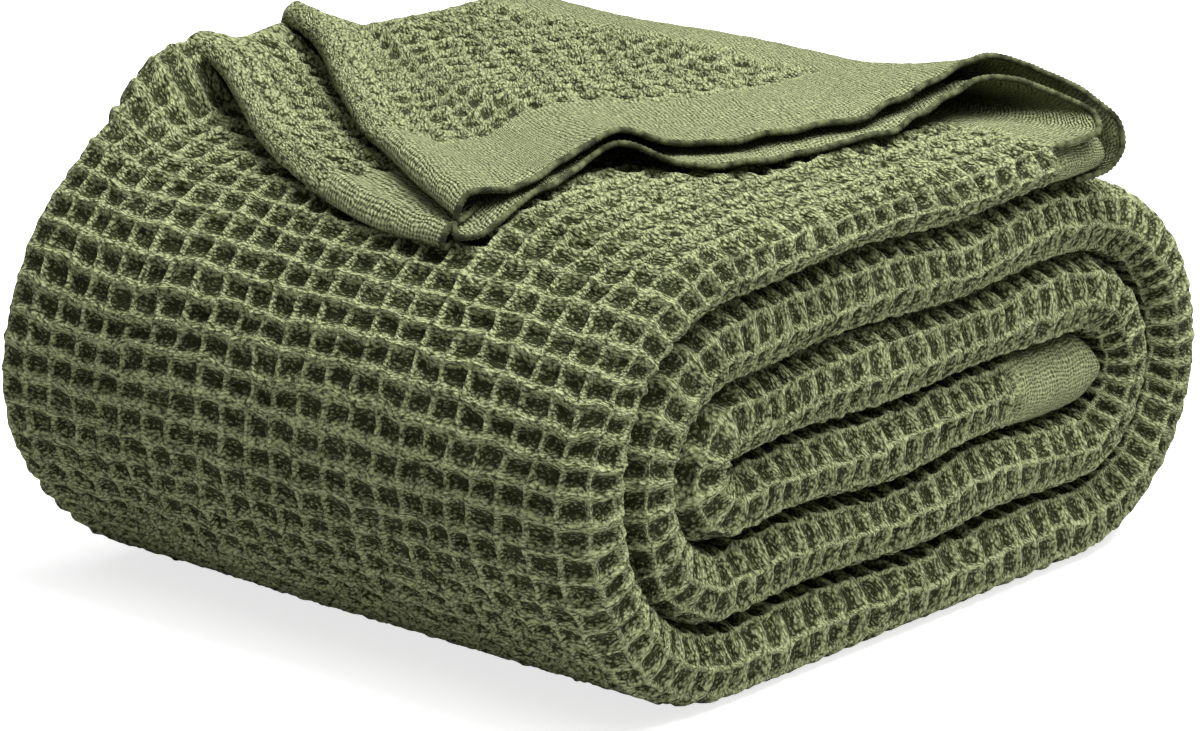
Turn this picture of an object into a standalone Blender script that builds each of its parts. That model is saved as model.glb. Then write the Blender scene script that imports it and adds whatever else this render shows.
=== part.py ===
"""Waffle weave cotton blanket, folded lengthwise into a thick band and rolled flat.

One closed body holds the whole blanket. Its section, across the roll, is the folded band: six passes that
spiral outwards with a thin gap between them, and the outer end, which turns back over the top. The roll's
axis is X, the open side of the spiral is at +X, and the blanket lies on Z = 0.
"""

import bpy
import numpy as np

# Driving dimensions, in metres
LENGTH = 0.286
WIDTH = 0.356
BAND = 0.0282
GAP = 0.0008
TOP_PASS = 0.020
TURNED_BACK = 0.0065
TURN_BACK_MIDDLE = 0.014
CROWN = 0.004

# The spiral, worked out from the driving dimensions
PITCH = BAND + GAP
LEFT_Z = 3 * PITCH - GAP / 2
RIGHT_Z = LEFT_Z - PITCH / 2
LEFT_Y = LEFT_Z - WIDTH / 2
RIGHT_Y = WIDTH / 2 - RIGHT_Z
TOP_BOTTOM = 5 * PITCH
TOP = TOP_BOTTOM + TOP_PASS

# The turned-back end, seen from above: where its front edge lies, as (X, Y) points
FRONT_EDGE = (
    (-0.143, -0.086),
    (-0.124, -0.086),
    (-0.095, -0.096),
    (-0.064, -0.111),
    (-0.038, -0.121),
    (0.000, -0.130),
    (0.030, -0.130),
    (0.037, -0.114),
    (0.048, -0.080),
    (0.066, -0.050),
    (0.088, -0.030),
    (0.106, 0.005),
    (0.112, 0.040),
    (0.114, 0.080),
    (0.120, 0.092),
    (0.143, 0.100),
)
# Its two folds: the crest line as (X, Y) points, each with the lift above the plain height
FIRST_FOLD = (
    (-0.143, -0.074, 0.021),
    (-0.095, -0.086, 0.015),
    (-0.038, -0.112, 0.008),
    (0.030, -0.121, 0.002),
)
SECOND_FOLD = (
    (-0.143, -0.012, 0.018),
    (-0.084, -0.050, 0.012),
    (-0.038, -0.083, 0.008),
    (0.030, -0.112, 0.004),
)
FOLD_HALF_WIDTH = 0.020
# Where the near back corner curls up: the lift along X at the back edge, and its half width along Y
CURL = ((0.048, 0.000), (0.066, 0.003), (0.088, 0.013), (0.100, 0.016), (0.126, 0.013), (0.143, 0.002))
CURL_Y, CURL_HALF_WIDTH = 0.100, 0.064
# Where the front edge stands up in a small arch
ARCH_X, ARCH_Y, ARCH_LIFT, ARCH_HALF_WIDTH = 0.060, -0.054, 0.008, 0.026

TURN_BACK_Y = 0.108
EDGE_THINNING = 0.3

# How finely the body is faceted
ARC_STEPS = 12
RUN_STEPS = 4
BACK_STEPS = 18
NOSE_ANGLES = (75.0, 50.0, 25.0, 0.0)
END_ANGLES = (12.0, 37.0, 62.0, 90.0)
MIDDLE_SECTIONS = (-0.104, -0.080, -0.056, -0.032, -0.008, 0.014, 0.030, 0.037)
NEAR_SECTIONS = (0.048, 0.057, 0.066, 0.077, 0.088, 0.098, 0.106, 0.112, 0.114)

SAGE = (0.22, 0.25, 0.12)


def half_circle(centre, inner, start, end, outer=None):
    """Stations round a turn, as (outer side, inner side). outer gives its radii at start, middle and end."""
    share = np.linspace(0.0, 1.0, ARC_STEPS + 1)
    angle = np.radians(start + (end - start) * share)
    around = np.stack([np.cos(angle), np.sin(angle)], axis=1)
    radius = np.interp(share, (0, 0.5, 1), outer or (inner + BAND,) * 3)[:, None]
    return np.stack([centre + radius * around, centre + inner * around], axis=1)


def straight_run(start, end, outer_z, inner_z):
    """Stations strictly between two turns, at Y places that all the passes share."""
    y = np.linspace(start, end, RUN_STEPS + 1)[1:-1]
    outside = np.stack([y, np.full_like(y, outer_z)], axis=1)
    inside = np.stack([y, np.full_like(y, inner_z)], axis=1)
    return np.stack([outside, inside], axis=1)


def inner_end():
    """Stations of the band's inner end, a round nose that grows to the full thickness."""
    angle = np.radians(NOSE_ANGLES)
    y = RIGHT_Y + BAND / 2 * np.sin(angle)
    half = BAND / 2 * np.cos(angle)
    outside = np.stack([y, RIGHT_Z - half], axis=1)
    inside = np.stack([y, RIGHT_Z + half], axis=1)
    return np.stack([outside, inside], axis=1)


def spiral():
    """All stations of the rolled band, from its inner end to where the outer end starts to turn back."""
    left = np.array([LEFT_Y, LEFT_Z])
    right = np.array([RIGHT_Y, RIGHT_Z])
    level = [PITCH * n for n in range(5)]
    return np.concatenate(
        [
            inner_end(),
            straight_run(RIGHT_Y, LEFT_Y, level[2], level[2] + BAND),
            half_circle(left, GAP / 2, -90, -270),
            straight_run(LEFT_Y, RIGHT_Y, level[3] + BAND, level[3]),
            half_circle(right, RIGHT_Z - PITCH - BAND, 90, -90),
            straight_run(RIGHT_Y, LEFT_Y, level[1], level[1] + BAND),
            half_circle(left, GAP / 2 + PITCH, -90, -270),
            straight_run(LEFT_Y, RIGHT_Y, level[4] + BAND, level[4]),
            half_circle(right, RIGHT_Z - BAND, 90, -90),
            straight_run(RIGHT_Y, LEFT_Y, level[0], level[0] + BAND),
            half_circle(left, GAP / 2 + 2 * PITCH, -90, -270, (LEFT_Z, LEFT_Z, TOP - LEFT_Z)),
            straight_run(LEFT_Y, TURN_BACK_Y, TOP, TOP_BOTTOM),
        ]
    )


def hump(distance, half_width):
    """A smooth hump, 1 in the middle and 0 past its half width."""
    return 0.5 + 0.5 * np.cos(np.pi * np.clip(np.abs(distance) / half_width, 0, 1))


def lift(x, y):
    """Height that the folds, the curled corner and the arch add to the turned-back end."""
    total = np.zeros_like(y)
    for crest in (FIRST_FOLD, SECOND_FOLD):
        crest_x, crest_y, crest_lift = np.array(crest).T
        total += np.interp(x, crest_x, crest_lift) * hump(y - np.interp(x, crest_x, crest_y), FOLD_HALF_WIDTH)
    curl_x, curl = np.array(CURL).T
    total += np.interp(x, curl_x, curl) * hump(y - CURL_Y, CURL_HALF_WIDTH)
    return total + ARCH_LIFT * hump(x - ARCH_X, ARCH_HALF_WIDTH) * hump(y - ARCH_Y, ARCH_HALF_WIDTH)


def turned_back(x, top_y, top_z):
    """Stations of the outer end at one X: round the back edge, then forwards over the rolled band's top."""
    loop = GAP + lift(x, np.array([TURN_BACK_Y])) / 2
    pivot = np.array([TURN_BACK_Y, TOP + loop[0]])
    share = np.linspace(0.0, 1.0, ARC_STEPS + 1)
    angle = np.radians(-90 + 180 * share)
    around = np.stack([np.cos(angle), np.sin(angle)], axis=1)
    wall = np.interp(share, (0, 0.5, 1), (TOP_PASS, TURN_BACK_MIDDLE, TURNED_BACK))[:, None]
    turn = np.stack([pivot + loop * around, pivot + (loop + wall) * around], axis=1)

    reach = np.interp(x, *np.array(FRONT_EDGE).T)
    y = TURN_BACK_Y + (reach - TURN_BACK_Y) * np.linspace(0, 1, BACK_STEPS + 1)[1:]
    under = np.interp(y, top_y, top_z) + 2 * GAP + lift(x, y)
    full = np.append(np.ones(BACK_STEPS - 1), EDGE_THINNING)
    thin = TURNED_BACK * (1 - full) / 2
    below = np.stack([y, under + thin], axis=1)
    above = np.stack([y, under + TURNED_BACK - thin], axis=1)
    return np.concatenate([turn, np.stack([below, above], axis=1)])


def along_roll():
    """X places of the sections, and how full the band's thickness is at each: round at both ends."""
    angle = np.radians(END_ANGLES)
    full = np.sin(angle)
    end = LENGTH / 2 - BAND / 2 * (1 - np.cos(angle))
    middle = np.array(MIDDLE_SECTIONS + NEAR_SECTIONS)
    x = np.concatenate([-end, middle, end[::-1]])
    return x, np.concatenate([full, np.ones_like(middle), full[::-1]])


def settled(points):
    """Crown the roll a little, more towards the top. The bottom stays flat."""
    y, z = points[..., 1], points[..., 2]
    rise = CROWN * np.cos(np.pi * y / WIDTH) * (z / TOP)
    return np.stack([points[..., 0], y, z + rise], axis=-1)


def blanket_grid():
    """Corner points as an array (station, section, side, XYZ)."""
    rolled = spiral()
    top_y, top_z = rolled[-RUN_STEPS - ARC_STEPS // 2 :, 0].T
    sections = []
    for x, full in zip(*along_roll()):
        stations = np.concatenate([rolled, turned_back(x, top_y, top_z)])
        middle = stations.mean(axis=1, keepdims=True)
        stations = middle + (stations - middle) * full
        sections.append(np.concatenate([np.full(stations.shape[:2] + (1,), x), stations], axis=2))
    return settled(np.stack(sections, axis=1))


def quads(corner_a, corner_b, corner_c, corner_d):
    """Faces from four equal arrays of point numbers."""
    return np.stack([corner_a, corner_b, corner_c, corner_d], axis=-1).reshape(-1, 4)


def blanket_faces(number):
    """Faces of the closed body, from the array of point numbers (station, section, side)."""
    outer, inner = number[:, :, 0], number[:, :, 1]
    return np.concatenate(
        [
            quads(outer[:-1, :-1], outer[:-1, 1:], outer[1:, 1:], outer[1:, :-1]),
            quads(inner[:-1, :-1], inner[1:, :-1], inner[1:, 1:], inner[:-1, 1:]),
            quads(outer[:-1, 0], outer[1:, 0], inner[1:, 0], inner[:-1, 0]),
            quads(outer[:-1, -1], inner[:-1, -1], inner[1:, -1], outer[1:, -1]),
            quads(outer[0, :-1], inner[0, :-1], inner[0, 1:], outer[0, 1:]),
            quads(outer[-1, :-1], outer[-1, 1:], inner[-1, 1:], inner[-1, :-1]),
        ]
    )


def cotton(name, colour):
    """A plain rough cotton material."""
    material = bpy.data.materials.new(name)
    material.use_nodes = True
    shader = material.node_tree.nodes["Principled BSDF"]
    shader.inputs["Base Color"].default_value = (*colour, 1.0)
    shader.inputs["Roughness"].default_value = 0.9
    shader.inputs["Metallic"].default_value = 0.0
    return material


def main():
    for thing in list(bpy.data.objects):
        bpy.data.objects.remove(thing, do_unlink=True)
    points = blanket_grid()
    number = np.arange(points[..., 0].size).reshape(points.shape[:3])
    mesh = bpy.data.meshes.new("rolled_blanket")
    mesh.from_pydata(points.reshape(-1, 3).tolist(), [], blanket_faces(number).tolist())
    mesh.update()
    mesh.shade_smooth()
    mesh.materials.append(cotton("sage cotton", SAGE))
    blanket = bpy.data.objects.new("rolled_blanket", mesh)
    bpy.context.scene.collection.objects.link(blanket)


main()
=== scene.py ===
"""Waffle weave cotton blanket: a thick folded band, rolled flat, with its outer end turned back over the top.

The roll is one band of folded cloth on a flat spiral. Its outer faces and its folded edges are sheets of
waffle weave with real ribs and pits. The turned-back end is two plies, each with a bound hem.
Sizes are in metres, and the guide lines of the plies in millimetres.
"""

import logging
import math
from collections.abc import Callable, Iterable, Sequence
from dataclasses import dataclass, field
from enum import Enum

import bpy
import numpy as np
from mathutils import Matrix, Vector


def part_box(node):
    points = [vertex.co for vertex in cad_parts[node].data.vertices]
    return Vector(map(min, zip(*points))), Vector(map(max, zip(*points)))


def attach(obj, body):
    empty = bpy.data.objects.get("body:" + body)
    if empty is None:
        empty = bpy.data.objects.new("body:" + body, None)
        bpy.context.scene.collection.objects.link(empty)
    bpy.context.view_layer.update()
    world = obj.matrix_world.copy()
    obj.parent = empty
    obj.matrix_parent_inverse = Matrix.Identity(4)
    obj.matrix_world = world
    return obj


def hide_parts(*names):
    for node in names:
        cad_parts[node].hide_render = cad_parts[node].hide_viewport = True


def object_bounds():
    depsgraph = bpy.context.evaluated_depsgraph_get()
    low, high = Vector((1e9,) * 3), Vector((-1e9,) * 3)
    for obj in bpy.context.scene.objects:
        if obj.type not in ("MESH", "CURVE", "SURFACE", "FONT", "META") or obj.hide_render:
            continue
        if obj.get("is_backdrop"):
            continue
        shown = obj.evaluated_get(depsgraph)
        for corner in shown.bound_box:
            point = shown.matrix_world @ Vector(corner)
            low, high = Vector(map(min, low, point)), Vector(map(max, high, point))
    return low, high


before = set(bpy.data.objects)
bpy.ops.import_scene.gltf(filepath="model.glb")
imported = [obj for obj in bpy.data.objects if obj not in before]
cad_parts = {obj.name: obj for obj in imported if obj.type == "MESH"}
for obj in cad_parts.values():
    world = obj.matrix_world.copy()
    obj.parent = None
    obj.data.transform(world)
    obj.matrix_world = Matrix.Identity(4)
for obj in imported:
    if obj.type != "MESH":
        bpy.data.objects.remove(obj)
log = logging.getLogger("blanket")

NODE = "rolled_blanket"
BODY = "root"

MILLIMETRES = 1000.0
TINY = 1e-9
WAVES = 10
WAVES_SPREAD = 4.5

Point = tuple[float, float, float]
Line = Sequence[Point]
Piece = bpy.types.Object
Socket = bpy.types.NodeSocket


class Kind(Enum):
    """What a piece of the blanket is made of."""

    WAFFLE = "waffle cotton"
    BINDING = "bound hem"


def smooth_step(low: float, high: float, value: np.ndarray) -> np.ndarray:
    """Rises from 0 at low to 1 at high, level at both ends."""
    share = np.clip((value - low) / (high - low), 0.0, 1.0)
    return share * share * (3.0 - 2.0 * share)


def grid_normals(points: np.ndarray) -> np.ndarray:
    """Unit normals of a grid of points: the cross product of its two directions of travel."""
    across = np.cross(np.gradient(points, axis=0), np.gradient(points, axis=1))
    return across / np.maximum(np.linalg.norm(across, axis=-1, keepdims=True), 1e-12)


def soften(values: np.ndarray, reach: float, axis: int) -> np.ndarray:
    """Rounds off the corners of a grid along one axis by a bell-shaped mean that keeps its ends in place.

    Args:
        values: an array of points.
        reach: the bell's width, in grid steps.
        axis: the axis to smooth along.

    Returns:
        The smoothed array.
    """
    half = int(math.ceil(3 * reach))
    bell = np.exp(-0.5 * (np.arange(-half, half + 1) / reach) ** 2)
    bell /= bell.sum()
    moved = np.moveaxis(values, axis, 0)
    start = 2 * moved[:1] - moved[half:0:-1]
    end = 2 * moved[-1:] - moved[-2 : -half - 2 : -1]
    long = np.concatenate([start, moved, end])
    total = sum(weight * long[i : i + len(moved)] for i, weight in enumerate(bell))
    return np.moveaxis(total, 0, axis)


def resample(line: np.ndarray, count: int) -> np.ndarray:
    """A line's points at equal steps of its length, by straight interpolation.

    Args:
        line: the points, one in each row.
        count: how many points are wanted.

    Returns:
        The new points.
    """
    steps = np.linalg.norm(np.diff(line, axis=0), axis=1)
    distance = np.concatenate([[0.0], np.cumsum(steps)])
    wanted = np.linspace(0, distance[-1], count)
    return np.stack([np.interp(wanted, distance, column) for column in line.T], axis=-1)


@dataclass(frozen=True)
class Ripple:
    """Smooth irregularity of a given size and middle wavelength. The seed picks its set of waves."""

    size: float
    wave: float
    seed: int

    def at(self, places: np.ndarray) -> np.ndarray:
        """Its value at each place: the sum of ten sine waves in seeded directions, scaled to its size.

        Args:
            places: points, with their coordinates along the last axis, in the units of the wavelength.

        Returns:
            One value for each point.
        """
        random = np.random.default_rng(self.seed)
        directions = random.normal(size=(WAVES, places.shape[-1]))
        directions /= np.linalg.norm(directions, axis=1, keepdims=True)
        directions *= (2.0 * math.pi / self.wave) * random.uniform(0.6, 1.6, size=(WAVES, 1))
        phases = random.uniform(0.0, 2.0 * math.pi, size=WAVES)
        return self.size * (np.sin(places @ directions.T + phases).sum(axis=-1) / WAVES_SPREAD)


def all_ripples(ripples: Iterable[Ripple], places: np.ndarray) -> np.ndarray:
    """The sum of several ripples at each place."""
    return sum(ripple.at(places) for ripple in ripples)


@dataclass(frozen=True)
class Weave:
    """The waffle weave. Sizes of squares, depths and heights are lengths. Ribs are parts of a square."""

    along: float = 0.0123
    around: float = 0.0112
    on_folds: float = 0.0096
    depth: float = 0.0034
    knot: float = 0.0004
    knot_spread: float = 0.03
    thin_rib: float = 0.19
    wide_rib: float = 0.46
    plain_loss: float = 0.94
    end_room: float = 0.03
    corners: tuple[float, ...] = (0.0, 0.06, 0.14, 0.29, 0.5, 0.71, 0.86, 0.94)
    uneven: Ripple = Ripple(0.24, 2.6, 5)
    lumps: Ripple = Ripple(0.00035, 0.5, 6)
    wobble_across: Ripple = Ripple(0.0275, 1.1, 7)
    wobble_up: Ripple = Ripple(0.055, 1.1, 8)

    def stations(self, start: float, end: float) -> np.ndarray:
        """Places for grid lines, closer together at the ribs.

        Args:
            start: the first place, in squares.
            end: the last place, in squares.

        Returns:
            All places, in order.
        """
        whole = np.arange(math.floor(start), math.ceil(end) + 1)
        places = (whole[:, None] + np.array(self.corners)).ravel()
        inside = places[(places > start + self.end_room) & (places < end - self.end_room)]
        return np.concatenate([[start], inside, [end]])

    def relief(self, across: np.ndarray, up: np.ndarray) -> tuple[np.ndarray, np.ndarray]:
        """Height of the cloth's face and its hollow, with uneven pits and small knots where ribs cross.

        The hollow is the product of two upturned bells, one across and one up. The height is the hollow times
        the depth, downwards, with a bell-shaped knot at each crossing, and low lumps. The ribs wobble.

        Args:
            across: places across the cloth, in squares.
            up: places along the cloth, in squares.

        Returns:
            The height, and the hollow from 0 on a rib to 1 in the middle of a pit.
        """
        both = np.stack([across, up], axis=-1)
        across = across + self.wobble_across.at(both)
        up = up + self.wobble_up.at(both)
        side = across - np.round(across)
        height = up - np.round(up)
        bell_across = np.exp(-((2.0 * side / self.thin_rib) ** 2))
        bell_up = np.exp(-((2.0 * height / self.wide_rib) ** 2))
        hollow = (1.0 - bell_across) * (1.0 - bell_up)
        knots = np.exp(-(side**2 + height**2) / self.knot_spread)
        depth = self.depth * (1.0 + self.uneven.at(both))
        return self.knot * knots - depth * hollow + self.lumps.at(both), hollow

    def levelled(self, relief: np.ndarray, plain: np.ndarray) -> np.ndarray:
        """The relief, lowered where the cloth is plain."""
        return relief * (1.0 - self.plain_loss * plain)


WEAVE = Weave()


@dataclass
class Cloth:
    """A grid of cloth: its points, normals, weave coordinates in squares, and how hollow and plain it is."""

    points: np.ndarray
    across: np.ndarray
    up: np.ndarray
    hollow: np.ndarray
    plain: np.ndarray
    flat: tuple[float, float]
    normals: np.ndarray = field(init=False)

    def __post_init__(self) -> None:
        """Works out the normals of the whole grid, so that pieces cut from it meet without a seam."""
        self.normals = grid_normals(self.points)

    def cut(self, rows: slice, flat: tuple[float, float]) -> "Cloth":
        """A part of this cloth, with the normals it had in the whole.

        Args:
            rows: which rows of the grid.
            flat: the part's own flat size.

        Returns:
            The part.
        """
        grids = (self.points, self.across, self.up, self.hollow, self.plain)
        part = Cloth(*(grid[rows] for grid in grids), flat)
        part.normals = self.normals[rows]
        return part


@dataclass(frozen=True)
class Maker:
    """Puts finished grids into the scene as pieces of the blanket."""

    materials: dict[Kind, bpy.types.Material]

    def mesh(
        self, name: str, points: np.ndarray, faces: np.ndarray, normals: np.ndarray, kind: Kind
    ) -> Piece:
        """One smooth object at the origin, which rides on the roll's body and stands for its solid.

        Args:
            name: the piece's name.
            points: its points, one in each row.
            faces: its four-cornered faces, as rows of point numbers.
            normals: a normal for each point.
            kind: what it is made of.

        Returns:
            The object.
        """
        mesh = bpy.data.meshes.new(name)
        mesh.vertices.add(len(points))
        mesh.vertices.foreach_set("co", points.astype(np.float32).ravel())
        mesh.loops.add(faces.size)
        mesh.loops.foreach_set("vertex_index", faces.astype(np.int32).ravel())
        mesh.polygons.add(len(faces))
        mesh.polygons.foreach_set("loop_start", np.arange(0, faces.size, 4, dtype=np.int32))
        mesh.update(calc_edges=True)
        mesh.validate()
        mesh.shade_smooth()
        mesh.materials.append(self.materials[kind])
        piece = bpy.data.objects.new(name, mesh)
        bpy.context.scene.collection.objects.link(piece)
        mesh.normals_split_custom_set_from_vertices(normals.astype(np.float32))
        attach(piece, BODY)
        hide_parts(NODE)
        return piece

    @staticmethod
    def dress(piece: Piece, across: np.ndarray, up: np.ndarray, **values: np.ndarray) -> None:
        """Gives a piece its weave coordinates as a UV map, and its other values as attributes.

        Args:
            piece: the piece.
            across: the coordinate across the weave at each point.
            up: the coordinate along it at each point.
            values: other values at each point, by the attribute's name.
        """
        mesh = piece.data
        corner = np.empty(len(mesh.loops), np.int32)
        mesh.loops.foreach_get("vertex_index", corner)
        both = np.stack([across.ravel(), up.ravel()], axis=-1)[corner]
        mesh.uv_layers.new(name="weave").data.foreach_set("uv", both.astype(np.float32).ravel())
        for name, value in values.items():
            attribute = mesh.attributes.new(name, "FLOAT", "POINT")
            attribute.data.foreach_set("value", value.astype(np.float32).ravel())

    def sheet(self, name: str, cloth: Cloth) -> Piece:
        """A sheet of the blanket.

        Args:
            name: the piece's name.
            cloth: its grid.

        Returns:
            The object.
        """
        number = np.arange(cloth.across.size).reshape(cloth.across.shape)
        faces = np.stack([number[:-1, :-1], number[1:, :-1], number[1:, 1:], number[:-1, 1:]], axis=-1)
        points, normals = cloth.points.reshape(-1, 3), cloth.normals.reshape(-1, 3)
        piece = self.mesh(name, points, faces.reshape(-1, 4), normals, Kind.WAFFLE)
        # The hollow attribute also sets the painted shade in the pits.
        self.dress(piece, cloth.across, cloth.up, hollow=cloth.hollow, plain=cloth.plain)
        return piece


@dataclass(frozen=True)
class Roll:
    """The folded band on its flat spiral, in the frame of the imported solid."""

    length: float
    width: float
    band: float = 0.0282
    gap: float = 0.0008
    top_pass: float = 0.020
    crown: float = 0.004
    end_y: float = 0.108
    rows: int = 180
    nose_rows: int = 60
    nose_angle: float = 88.0
    corrections: int = 12

    @property
    def pitch(self) -> float:
        """From one pass to the next."""
        return self.band + self.gap

    @property
    def left(self) -> tuple[float, float]:
        """Centre of the turns on the rounded long side at -Y."""
        z = 3 * self.pitch - self.gap / 2
        return z - self.width / 2, z

    @property
    def right(self) -> tuple[float, float]:
        """Centre of the turns on the long side at +Y."""
        z = self.left[1] - self.pitch / 2
        return self.width / 2 - z, z

    @property
    def top(self) -> float:
        """Height of the top pass, before the crown."""
        return 5 * self.pitch + self.top_pass

    def crowned(self, y: np.ndarray, z: np.ndarray) -> np.ndarray:
        """Heights with the roll's crown: lifted by a cosine across its width, in proportion to height."""
        return z + self.crown * np.cos(np.pi * np.clip(y / self.width, -0.5, 0.5)) * z / self.top

    def surface(self, y: np.ndarray) -> np.ndarray:
        """Height of the rolled band's upper side: a shrinking circle, then level, with the crown.

        The circle's radius depends on the angle reached, so each height is found by repeated correction.

        Args:
            y: places across the roll's width.

        Returns:
            The height at each place.
        """
        left_y, left_z = self.left
        last = self.top - left_z
        height = np.full_like(y, last)
        out = np.maximum(left_y - y, 0.0)
        for _ in range(self.corrections):
            turn = np.arctan2(height, np.maximum(out, TINY))
            radius = left_z + (last - left_z) * np.clip(turn / (math.pi / 2), 0, 1)
            height = np.sqrt(np.maximum(radius**2 - out**2, 0.0))
        return self.crowned(y, left_z + height)

    def bend(
        self, centre: tuple[float, float], inner: float, start: float, end: float, outer: tuple[float, ...]
    ) -> np.ndarray:
        """Rows round a turn, at equal angles: the centre plus a radius times the direction.

        Args:
            centre: the turn's centre (y, z).
            inner: radius of the inner side.
            start: the first angle, in degrees.
            end: the last angle, in degrees.
            outer: radii of the outer side at the start, middle and end.

        Returns:
            Rows of outer y, outer z, inner y and inner z.
        """
        share = np.linspace(0.0, 1.0, self.rows + 1)[1:]
        angle = np.radians(start + (end - start) * share)
        around = np.stack([np.cos(angle), np.sin(angle)], axis=1)
        radius = np.interp(share, (0.0, 0.5, 1.0), outer)[:, None]
        return np.concatenate([centre + radius * around, centre + inner * around], axis=1)

    def run(self, start: float, end: float, outer_z: float, inner_z: float) -> np.ndarray:
        """Rows, as those of a turn, along a straight pass from one y to another."""
        y = np.linspace(start, end, self.rows + 1)[1:]
        return np.stack([y, np.full_like(y, outer_z), y, np.full_like(y, inner_z)], axis=1)

    def nose(self, y: float, outer_z: float, inner_z: float, begins: bool) -> np.ndarray:
        """Rows, as those of a turn, of a round end: the thickness follows a quarter circle to nothing.

        Args:
            y: where the round end joins the pass.
            outer_z: height of the outer side there.
            inner_z: height of the inner side there.
            begins: whether the band begins here, so that the rows start at the tip.

        Returns:
            The rows.
        """
        angle = np.radians(np.linspace(0.0, self.nose_angle, self.nose_rows))
        angle = angle[::-1] if begins else angle[1:]
        half = (outer_z - inner_z) / 2
        middle = (outer_z + inner_z) / 2
        out = y + abs(half) * np.sin(angle)
        return np.stack([out, middle + half * np.cos(angle), out, middle - half * np.cos(angle)], axis=1)

    def path(self) -> "Path":
        """The whole band: its inner end, six passes with five turns between them, and its outer end.

        Returns:
            The path.
        """
        left, right = np.array(self.left), np.array(self.right)
        level = [self.pitch * n for n in range(6)]
        band = self.band
        (left_y, left_z), (right_y, right_z) = left, right
        runs = (
            (right_y, left_y, level[2], level[2] + band),
            (left_y, right_y, level[3] + band, level[3]),
            (right_y, left_y, level[1], level[1] + band),
            (left_y, right_y, level[4] + band, level[4]),
        )
        turns = (
            (left, self.gap / 2, -90, -270),
            (right, right_z - self.pitch - band, 90, -90),
            (left, self.gap / 2 + self.pitch, -90, -270),
            (right, right_z - band, 90, -90),
        )
        inner = [self.nose(right_y, level[2], level[2] + band, begins=True)]
        for run, (centre, radius, start, end) in zip(runs, turns):
            inner.append(self.run(*run))
            inner.append(self.bend(centre, radius, start, end, (radius + band,) * 3))
        outer = [
            self.run(right_y, left_y, level[0], band),
            self.bend(left, self.gap / 2 + 2 * self.pitch, -90, -270, (left_z, left_z, self.top - left_z)),
            self.run(left_y, self.end_y, self.top, level[5]),
            self.nose(self.end_y, self.top, level[5], begins=False),
        ]
        folded = sum(len(part) for part in inner[:-1])
        return Path.along(np.concatenate(inner + outer), folded)


@dataclass(frozen=True)
class Path:
    """The band's line by squares: columns of middle (y, z), outward direction (y, z) and half thickness."""

    squares: np.ndarray
    columns: np.ndarray

    @classmethod
    def along(cls, rows: np.ndarray, folded: int) -> "Path":
        """Measures rows in squares of weave: by the middle line at first, then by the outer side.

        Args:
            rows: outer y, outer z, inner y and inner z.
            folded: how many rows lie inside the spiral, where only the folds show.

        Returns:
            The path.
        """
        outer, inner = rows[:, :2], rows[:, 2:]
        middle = (outer + inner) / 2
        half = np.linalg.norm(outer - inner, axis=1) / 2
        outward = (outer - inner) / np.maximum(2 * half, TINY)[:, None]
        by_middle = np.linalg.norm(np.diff(middle, axis=0), axis=1) / WEAVE.on_folds
        by_outer = np.linalg.norm(np.diff(outer, axis=0), axis=1) / WEAVE.around
        steps = np.where(np.arange(len(by_middle)) < folded, by_middle, by_outer)
        squares = np.concatenate([[0.0], np.cumsum(np.maximum(steps, 1e-6))])
        return cls(squares, np.concatenate([middle, outward, half[:, None]], axis=1))

    def at(self, squares: np.ndarray) -> list[np.ndarray]:
        """The five columns at the given places, by straight interpolation."""
        return [np.interp(squares, self.squares, column) for column in self.columns.T]

    def place(self, y: float, after: float) -> float:
        """The first place past another one where the band's middle reaches a y.

        Args:
            y: the y to reach.
            after: where the search starts, in squares.

        Returns:
            The place, in squares.
        """
        crossing = np.sign(self.columns[:-1, 0] - y) != np.sign(self.columns[1:, 0] - y)
        found = np.flatnonzero(crossing & (self.squares[:-1] > after))
        return float(self.squares[found[0]])


@dataclass
class Section:
    """The band's section across the roll: outer face, near fold, inner face, two half folds at the far end.

    The table's rows are distance from the near fold, x, x on the curve, offset, x normal and offset normal.
    An offset is in half thicknesses, from 1 on the outer face to -1 on the inner.
    """

    roll: Roll
    tuck: float = 0.03
    steps: int = 60
    table: np.ndarray = field(init=False)
    near_end: float = field(init=False)
    far_end: float = field(init=False)
    cusp: float = field(init=False)

    def __post_init__(self) -> None:
        """Puts the parts in order. A fold is a half circle, with its radius as the normal."""
        radius = self.roll.band / 2
        small = radius / 2
        end = self.roll.length / 2
        flat = self.roll.length - 1.5 * radius
        half_turn = math.pi * small
        turn = np.linspace(0.0, math.pi, self.steps + 1)
        sine, cosine, same = np.sin(turn), np.cos(turn), np.ones_like(turn)
        near = [turn * radius, (end - radius) * same, radius * sine, cosine, sine, cosine]
        folds = [
            [start - turn * small, (small - end) * same, -small * sine, shift + 0.5 * cosine, -sine, cosine]
            for shift, start in ((0.5, -flat), (-0.5, -flat - 1.02 * half_turn))
        ]
        self.near_end = math.pi * radius + self.tuck
        self.far_end = float(folds[1][0][-1] - self.tuck)
        self.cusp = -flat - 1.01 * half_turn
        inner = [self.near_end, end - radius - self.tuck, 0.0, -1.0, 0.0, -1.0]
        last = [self.far_end, small - end + self.tuck, 0.0, -1.0, 0.0, -1.0]
        table = np.concatenate([np.array(part).reshape(6, -1).T for part in (near, inner, *folds, last)])
        self.table = table[np.argsort(table[:, 0], kind="stable")].T

    def at(self, distance: np.ndarray) -> list[np.ndarray]:
        """The five columns after the distance, by straight interpolation."""
        return [np.interp(distance, self.table[0], column) for column in self.table[1:]]


@dataclass(frozen=True)
class PlainEnds:
    """Where the rolled band's weave is plain, in squares along the band."""

    inner: float
    outer: float
    fade: float = 1.2

    def share(self, up: np.ndarray) -> np.ndarray:
        """1 in the plain ends, 0 in the waffle between them."""
        start = 1.0 - smooth_step(self.inner - self.fade, self.inner, up)
        return np.maximum(start, smooth_step(self.outer, self.outer + self.fade, up))


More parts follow.
